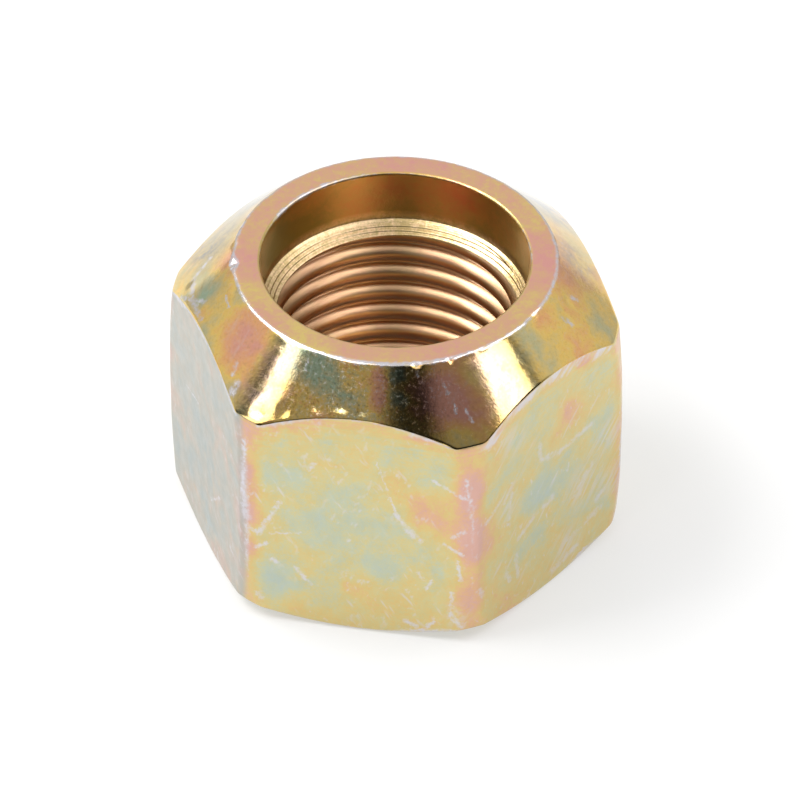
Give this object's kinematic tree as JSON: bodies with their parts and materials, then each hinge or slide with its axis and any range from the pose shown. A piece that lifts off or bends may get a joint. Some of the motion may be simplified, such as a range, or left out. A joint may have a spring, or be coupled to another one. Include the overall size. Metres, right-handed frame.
{
  "type": "lug nut",
  "caption": "Hexagonal wheel lug nut with a conical seat, a flat end ring, a counterbore for the stud and a fine-thread bore, in iridescent yellow zinc.",
  "frame": {"origin": "centre of the flat back face, where the bore's axis meets it", "axes": "+Z along the bore towards the conical seat, +X towards one upright corner of the hexagon, +Y square to a flat"},
  "size_m": [0.0254, 0.0222, 0.0174],
  "materials": {
    "yellow_zinc_steel": "yellow chromated zinc plate with pink, green and pale blue iridescence, worn to bare silver on its edges"
  },
  "bodies": {
    "root": {"lug_nut": "yellow_zinc_steel"}
  },
  "joints": []
}
